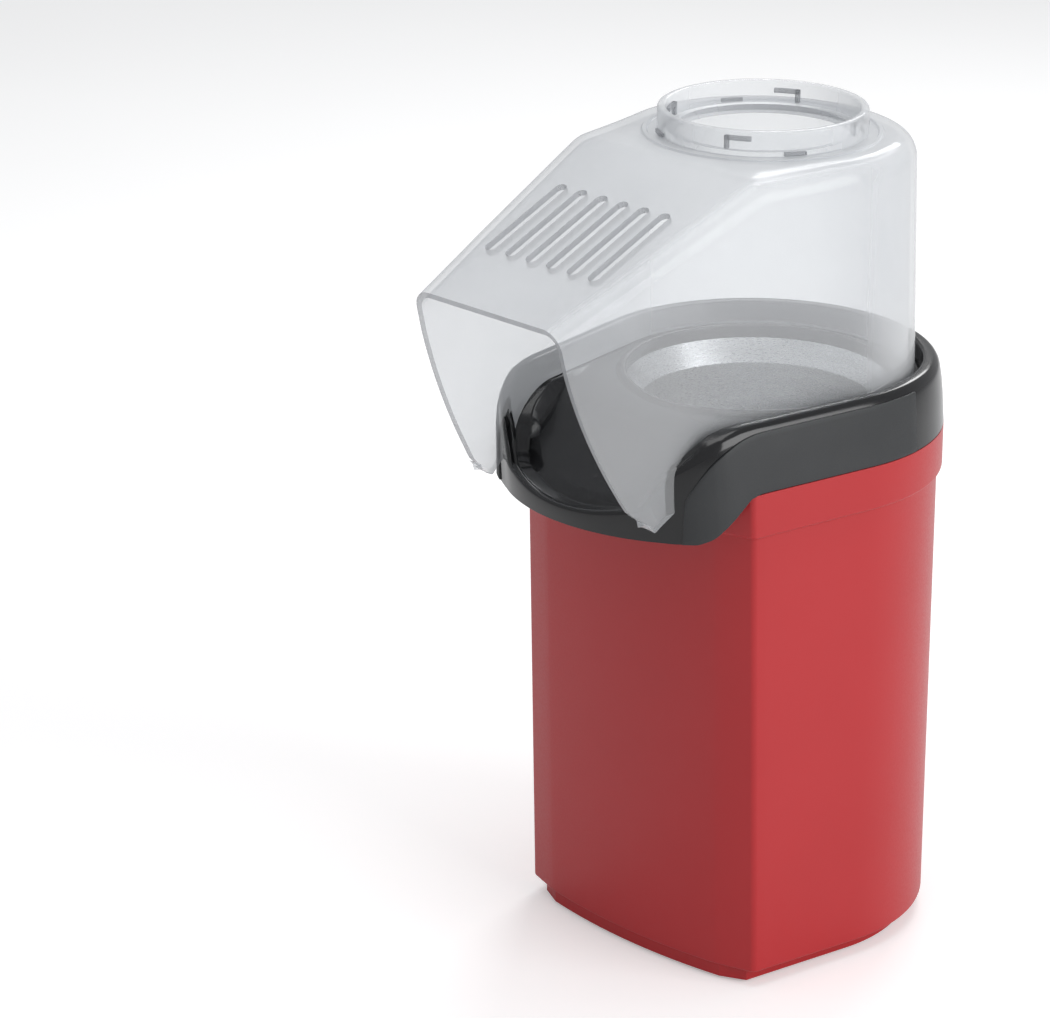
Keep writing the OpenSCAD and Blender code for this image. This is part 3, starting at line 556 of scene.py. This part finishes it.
switch_low, switch_high = extent("switch_body")
inlet_low, inlet_high = extent("cord_inlet")
switch_hole = [(switch_low[0], switch_low[2]), (switch_high[0], switch_low[2]),
               (switch_high[0], switch_high[2]), (switch_low[0], switch_high[2])]
inlet_mid, inlet_out = (inlet_low[2] + inlet_high[2]) / 2, (inlet_high[2] - inlet_low[2]) / 2
around = np.arange(48) * 2 * pi / 48
inlet_hole = np.column_stack([inlet_out * np.cos(around), inlet_mid + inlet_out * np.sin(around)])
cut_from, cut_to = 50, 80
cutters = [prism(hole, cut_from, cut_to) for hole in (switch_hole, inlet_hole)]
cut_away(body_shell, cutters, ["red_plastic", "red_plastic"])
print("body faces with its openings:", len(body_shell.data.polygons))

# %% [markdown]
# Four posts carry the base cover and the fan housing, and four short lugs take the collar's screws.
# They stay hidden, but they are what holds the machine together.


# %% Posts and lugs inside the body
def turned(profile, centre=(0, 0), count=48):
    """A profile of (radius, height) points turned about an upright axis: (r cos a, r sin a, z)."""
    angle = np.arange(count) * 2 * pi / count
    r, z = np.array(profile, float).T
    x, y = r[:, None] * np.cos(angle) + centre[0], r[:, None] * np.sin(angle) + centre[1]
    return np.stack([x, y, np.broadcast_to(z[:, None], x.shape)], axis=-1)


def tube(outer, inner, low, high):
    """The closed profile of a tube with softened ends."""
    return [(inner, low), (outer - 0.4, low), (outer, low + 0.4), (outer, high - 0.4), (outer - 0.4, high),
            (inner, high), (inner, low)]


duct_foot = extent("heat_duct")[0][2]
post_r, post_ring, lug_ring = 4.2, 52, 54.6
post_profile = tube(post_r, 1.1, body_foot + 6.2, duct_foot - 3)
lug_profile = tube(post_r, 1.45, shell_top - 16, shell_top - 12)
posts = [turned(post_profile, (post_ring * cos(a), post_ring * sin(a)), 24)
         for a in np.radians([42, 138, 222, 318])]
lugs = [turned(lug_profile, (lug_ring * cos(a), lug_ring * sin(a)), 24)
        for a in np.radians([15, 165, 200, 340])]
piece("body_posts", posts + lugs, finishes["red_plastic"], "base")

# %% [markdown]
# ## The collar
# The collar is one sheet that starts at its lower edge, climbs the outside, rolls over the rim, drops
# to the seat that the hood stands in, and runs across the deck to a raised lip round the mouth. In
# front of the mouth the same sheet slopes down into the spout.

# %% Collar outlines
panel_proud = 0.45
collar_r, spout_half, spout_bow = collar_high[0] - panel_proud, 34.0, 70.0
hood_r, hood_taper = 54.4, 9.8
mouth_r, mouth_top_r, mouth_foot_r = 45.0, 46.8, 48.2
mid_share = 0.62


def collar_outline(grow, shift=0.0):
    """The collar's outer outline, grown by grow and with its lip moved forward by shift."""
    reach = lip_reach + shift + grow
    return half_outline(collar_r + grow, side_taper, reach - 19, reach, spout_half + 3, spout_bow, 5.0, 9.0)


def seat_outline(grow):
    """The outline inside the rim, which the hood's foot follows, closed by a bow at the lip."""
    reach = lip_reach - 6 + grow
    return half_outline(hood_r + grow, hood_taper + 0.3, reach - 15, reach, spout_half - 4 + grow,
                        spout_bow, 4.0, 6.0)


def ahead(outline, start=60.0, end=88.0):
    """0 at the back and sides, 1 at the lip, with a smooth step between the two."""
    t = np.clip((-outline[:, 1] - start) / (end - start), 0, 1)
    return t * t * (3 - 2 * t)


print("collar stations:", len(collar_outline(0)), len(seat_outline(0)))

# %% Collar sheet
edge, wall_mid, rim_out = collar_outline(0, -3.0), collar_outline(-0.9, -1.2), collar_outline(-2.6, 0.6)
lip_share = ahead(rim_out)
rim_z = rim_line(-rim_out[:, 1])
edge_z = edge_line(-edge[:, 1])
mid_z = edge_z + mid_share * (rim_z - edge_z)
rim_in, seat_out, seat_in, trough = (seat_outline(g) for g in (1.6, 0.6, -4.0, -6.2))
seat_z = rim_line(-seat_out[:, 1], seat_drop) - 0.2
opening = np.clip((lip_share - 0.7) / 0.3, 0, 1) ** 2
seat_z = seat_z + opening * (floor_line(-seat_out[:, 1]) + 1.2 - seat_z)
seat_z = np.maximum(seat_z, floor_line(-seat_out[:, 1]) - 0.2)
mouth_angle = np.arctan2(trough[:, 1], trough[:, 0])
mouth_angle[0] = -pi / 2


def mouth_ring(radius):
    """A circle about the axis, at the trough's angles: (r cos a, r sin a)."""
    return radius * np.column_stack([np.cos(mouth_angle), np.sin(mouth_angle)])


outer = [level(edge, edge_z), level(wall_mid, mid_z), level(rim_out, rim_z), level(rim_in, rim_z - 0.1),
         level(seat_out, seat_z), level(seat_in, seat_z), level(trough, floor_line(-trough[:, 1]))]
shell = rounded(outer, [6.0, 3.6 - 2.2 * lip_share, 1.0, 0.8, 0.6])
across = np.linspace(0, 1, 26)[1:, None, None]
deck = trough[None] * (1 - across) + mouth_ring(mouth_foot_r)[None] * across
deck = np.concatenate([deck, floor_line(-deck[..., 1])[..., None]], axis=-1)
mouth_z = floor_line(-mouth_foot_r * np.sin(mouth_angle))
mouth = rounded([deck[-1], level(mouth_ring(mouth_top_r), mouth_z + 1.6),
                 level(mouth_ring(mouth_r), mouth_z + 1.6),
                 level(mouth_ring(mouth_r), rim_top - 11.2)], [1.2, 0.7], 4)
collar_half = np.concatenate([shell, deck[:-1], mouth])
piece("collar_shell", [whole(collar_half)], finishes["black_plastic"], "base",
      ["collar"], wall=2.0)

# %% [markdown]
# ## The side panels
# A grained charcoal panel is let into each side of the glossy collar. It follows the same outer
# levels, a little proud of them, so it is cut from the same grid with its own ends.


# %% Side panels
def panel_grid(proud, rear=10.7, front=81.0):
    """The collar's outer levels again, grown by proud, resampled between two distances from the
    axis, from the lower edge up to just under the rim's round."""
    low, mid, high = (collar_outline(g + proud, s) for g, s in ((0, -3.0), (-0.9, -1.2), (-2.0, 0.3)))
    reach = np.concatenate([np.linspace(-rear, 55, 18), np.linspace(58, front, 26)])
    rows = []
    for outline in (low, mid, high):
        keep = outline[:, 1] < 60
        order = np.argsort(-outline[keep, 1])
        rows.append(np.interp(reach, -outline[keep, 1][order], outline[keep, 0][order]))
    bottom = edge_line(reach) + 0.05
    crown = np.minimum(rim_top - 2.4, rim_line(reach + 2.2, 2.4))
    round_end = np.sqrt(np.clip(1 - ((reach - (front - 7)) / 7).clip(0, 1) ** 2, 0, 1))
    crown = bottom + (crown - bottom) * (0.86 + 0.14 * round_end)
    v = np.linspace(0, 1, 12)[:, None]
    z = bottom + (crown - bottom) * v
    share = ((z - edge_line(reach)) / (rim_line(reach) - edge_line(reach))).clip(0, 1)
    x = np.where(share < mid_share, rows[0] + (rows[1] - rows[0]) * share / mid_share,
                 rows[1] + (rows[2] - rows[1]) * (share - mid_share) / (1 - mid_share))
    return np.stack([x, np.broadcast_to(-reach, x.shape), z], axis=-1)


right_panel = panel_grid(panel_proud)
left_panel = right_panel[:, ::-1] * np.array([-1, 1, 1])
for name, grid in (("collar_panel_right", right_panel[:, ::-1]), ("collar_panel_left", left_panel[:, ::-1])):
    piece(name, [grid], panel_grain, "base", wall=1.0, bevel=0.25, closed=False)

# %% [markdown]
# ## The hood
# The hood is a clear shell: sides that lean in and close in towards the front, a flat top round a
# ring, and a roof that slopes down to an open front. Each station's path climbs the wall, rounds the
# upper edge and crosses the roof, to the middle line in front and to the ring farther back.

# %% Hood lines
ring_h, crown_r, front_bulge = 8.6, 8.6, 4.5
hood_top = ring_top - ring_h
roof_crease, roof_drop, tip_reach = 46.0, 35.0, 95.5
hood_foot_z = rim_top - past_fall - 10


def hood_scale(z):
    """How much narrower the hood is at height z: a straight draft from its foot to its top."""
    return 1 - 0.055 * (z - hood_foot_z) / (hood_top + 2 - hood_foot_z)


def hood_side(reach, z):
    """Half width of the side: (scale times radius - reach times sin t) / cos t, where the taper t
    eases with height and reach."""
    ease = np.clip((z - rim_top + 20) / 60, 0, 1) * np.clip((reach - 9) / 90, 0, 1)
    t = np.radians(hood_taper - 1.1 * ease)
    return (hood_scale(z) * hood_r - reach * np.sin(t)) / np.cos(t)


def roof_line(reach):
    """Flat top, then a slope, joined by half of (d + sqrt(d^2 + k^2))."""
    fall = (reach - roof_crease) * roof_drop / (roof_reach - roof_crease)
    return hood_top - 0.5 * (fall + np.sqrt(fall * fall + 0.8 ** 2))


print("hood half width at its foot and top:", hood_side(60, 195).round(1), hood_side(60, 275).round(1))

# %% Stations along the hood
t_side = radians(hood_taper)
touch = hood_r * sin(t_side)
front_stations = np.concatenate([np.linspace(roof_reach, 114, 12), np.linspace(110, 50, 14),
                                 [48.5, 47, 46, 45, 43.5]])
top_reach = np.concatenate([front_stations, np.linspace(41, touch, 10)])
foot_reach = np.interp(top_reach, [touch, roof_reach], [touch, tip_reach])
turn = np.linspace(-t_side, pi / 2, 34)[1:]
station_count = len(top_reach) + len(turn)
front_share = np.clip((top_reach - touch) / (roof_reach - touch), 0, 1)
v_rows = np.concatenate([np.linspace(0, 0.16, 11), np.linspace(0.2, 0.8, 10), [1.0]])
tip_r, heel_r, heel_reach, heel_z = 7.0, 10.0, 89.5, rim_top - 33.4


def round_tip(along, up):
    """Bends the square corner at the hood's front tip into an arc: with a and b the shares of the
    radius still to go along the two edges, a becomes a sqrt(1 - b^2 / 2), and b the same way."""
    a, b = np.clip(1 - along / tip_r, 0, 1), np.clip(1 - up / tip_r, 0, 1)
    return tip_r * (a - a * np.sqrt(1 - b * b / 2)), tip_r * (b - b * np.sqrt(1 - a * a / 2))


foot_z = np.maximum(rim_line(foot_reach, seat_drop - 0.2), floor_line(foot_reach) + 0.3)
heel = np.sqrt(np.clip(heel_r ** 2 - (foot_reach - heel_reach) ** 2, 0, None))
foot_z = np.maximum(foot_z, np.where(heel > 0, heel_z + heel_r - heel, heel_z))
rear_foot_z = rim_line(0.0, seat_drop - 0.2)
print("hood stations in one half:", station_count)

# %% [markdown]
# Each row of the wall lies a share v of the way from the foot to the roof. The front also swells
# forward between the two, by 4 v (1 - v) times the bulge.

# %% Hood shell
wall_rows = []
for v in v_rows:
    z = foot_z + (roof_line(top_reach) - foot_z) * v
    reach = foot_reach + (top_reach - foot_reach) * v + 4 * v * (1 - v) * front_bulge * front_share ** 2
    inward, upward = round_tip(foot_reach[0] - foot_reach, z - foot_z)
    z, reach = z + upward, reach - inward
    side = np.column_stack([hood_side(reach, z), -reach, z])
    rear_z = rear_foot_z + (roof_line(0.0) - rear_foot_z) * v
    rear_r = hood_scale(rear_z) * hood_r
    rear = np.column_stack([rear_r * np.cos(turn), rear_r * np.sin(turn), np.full(len(turn), rear_z)])
    wall_rows.append(np.concatenate([side, rear]))
ring_r = 34.0
in_front = len(front_stations)
ring_angle = np.linspace(-pi / 2, pi / 2, station_count - in_front)
spine = np.zeros((station_count, 3))
spine[:in_front] = np.column_stack([0 * front_stations, -front_stations, roof_line(front_stations)])
spine[in_front:] = np.column_stack([ring_r * np.cos(ring_angle), ring_r * np.sin(ring_angle),
                                    roof_line(-ring_r * np.sin(ring_angle))])
edge_r = np.concatenate([crown_r - 1.6 * front_share, np.full(len(turn), crown_r)])
crown = rounded([wall_rows[-2], wall_rows[-1], spine], [edge_r], 9)
hood_half = np.concatenate([np.array(wall_rows[:-2]), crown])
extra = np.linspace(0, 1, 6)[1:-1, None, None]
between = hood_half[-2] * (1 - extra) + hood_half[-1] * extra
hood_half = np.concatenate([hood_half[:-1], between, hood_half[-1:]])
hood_other = hood_half[:, ::-1] * np.array([-1, 1, 1])
hood_grid = np.concatenate([hood_half, hood_other[:, 1:]], axis=1)
# the rim faces round the hood's cut edges take the grey of painted shade
hood_shell = piece("hood_shell", [hood_grid], finishes["clear_plastic"], "hood", ["hood"],
                   wall=2.2, closed=False, rim=finishes["clear_edge_painted_shade"])

# %% [markdown]
# ## Steam slots
# Six slots are cut through the sloping roof. Each cutter is a round-ended prism made from a ring of
# points, and one Boolean takes them all away from the finished shell, so the slots have real edges.

# %% Steam slots
slope = np.arctan2(roof_drop, roof_reach - roof_crease)
slot_len, slot_w, slot_pitch, slot_count = 38.0, 4.5, 9.4, 6
slot_mid = (roof_crease + roof_reach) / 2


def slot_cutter(x):
    """A round-ended prism: a ring of points at two depths, laid on the roof's slope."""
    a = np.arange(40) * 2 * pi / 40
    along = slot_w / 2 * np.sin(a) + np.where(np.sin(a) >= 0, 1, -1) * (slot_len - slot_w) / 2
    points, faces = prism(np.column_stack([x + slot_w / 2 * np.cos(a), along]), -6, 6)
    depth, along = points[:, 1], points[:, 2].copy()
    y = along * np.cos(slope) - depth * np.sin(slope) - slot_mid
    z = along * np.sin(slope) + depth * np.cos(slope) + hood_top - roof_drop / 2
    return np.column_stack([points[:, 0], y, z]), faces


slot_x = (np.arange(slot_count) - (slot_count - 1) / 2) * slot_pitch
# the slot walls take the same grey of painted shade as the other cut edges
cut_away(hood_shell, [slot_cutter(x) for x in slot_x], ["clear_plastic", "clear_edge_painted_shade"])
print("hood faces after the slots are cut:", len(hood_shell.data.polygons))

# %% [markdown]
# ## The ring on the hood
# The measuring cup stands in a ring on the flat top. It is a turned profile with a ledge inside, a
# low rib round its foot, four hooked keys inside that stop the cup from turning, and four short
# ribs outside.

# %% Ring, rib and keys
ring_out, ring_in, ledge_r = 35.4, 32.5, 29.5
ring_profile = rounded([np.array([p], float) for p in (
    (ring_out, hood_top - 1), (ring_out, ring_top), (ring_in, ring_top), (ring_in, hood_top + 1),
    (ledge_r, hood_top + 1), (ledge_r, hood_top - 2.2), (ring_out, hood_top - 2.2))],
    [1.1, 0.8, 0.5, 0.5, 0.4], 4)[:, 0]
ring_profile = np.concatenate([ring_profile, ring_profile[:1]])
rib = [(38.2, hood_top - 0.4), (39.0, hood_top + 0.55), (40.2, hood_top + 0.55), (41.0, hood_top - 0.4),
       (38.2, hood_top - 0.4)]
piece("hood_ring", [turned(ring_profile, count=120)], finishes["clear_plastic"], "hood")
piece("hood_ring_rib", [turned(rib, count=120)], finishes["clear_plastic"], "hood")


def arc_bar(inner, outer, low, high, start, end, steps=10):
    """A bar bent along an arc: its rectangle turned from start to end degrees, shrunk to a point at
    each end to close it."""
    section = np.array([(inner, low), (outer, low), (outer, high), (inner, high)], float)
    middle = section.mean(axis=0)
    sections = np.stack([middle + 0 * section, *[section] * steps, middle + 0 * section])
    angle = np.radians(np.r_[start, np.linspace(start, end, steps), end])[:, None]
    r, z = sections[..., 0], sections[..., 1]
    return np.stack([r * np.cos(angle), r * np.sin(angle), z], axis=-1)


key_in, key_out, key_top = ring_in - 1.2, ring_in + 0.4, hood_top + 6.0
keys = []
for start in (20, 110, 200, 290):
    keys.append(arc_bar(key_in, key_out, hood_top + 4.6, key_top, start, start + 16))
    keys.append(arc_bar(key_in, key_out, hood_top + 1.6, key_top, start, start + 2.4, 4))
    keys.append(arc_bar(ring_out - 0.3, ring_out + 1.0, hood_top + 0.6, hood_top + 1.8,
                        start + 34, start + 46))
# the clear keys and outer ribs take the grey of painted shade, as the cut edges do
piece("hood_ring_keys", keys, finishes["clear_edge_painted_shade"], "hood")

# %% [markdown]
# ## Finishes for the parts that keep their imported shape
# Every other part keeps the shape it was packed with. Its finish is looked up by the material slot
# that the record gives its node, and becomes the only material of its mesh.

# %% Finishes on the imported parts
parts = frame["record"]["subparts"]
for part in parts:
    node = frame["nodes"][part["node"]]
    node.data.materials.clear()
    node.data.materials.append(finishes[part["material_slot"]])
print("packed parts with a finish:", len(parts))
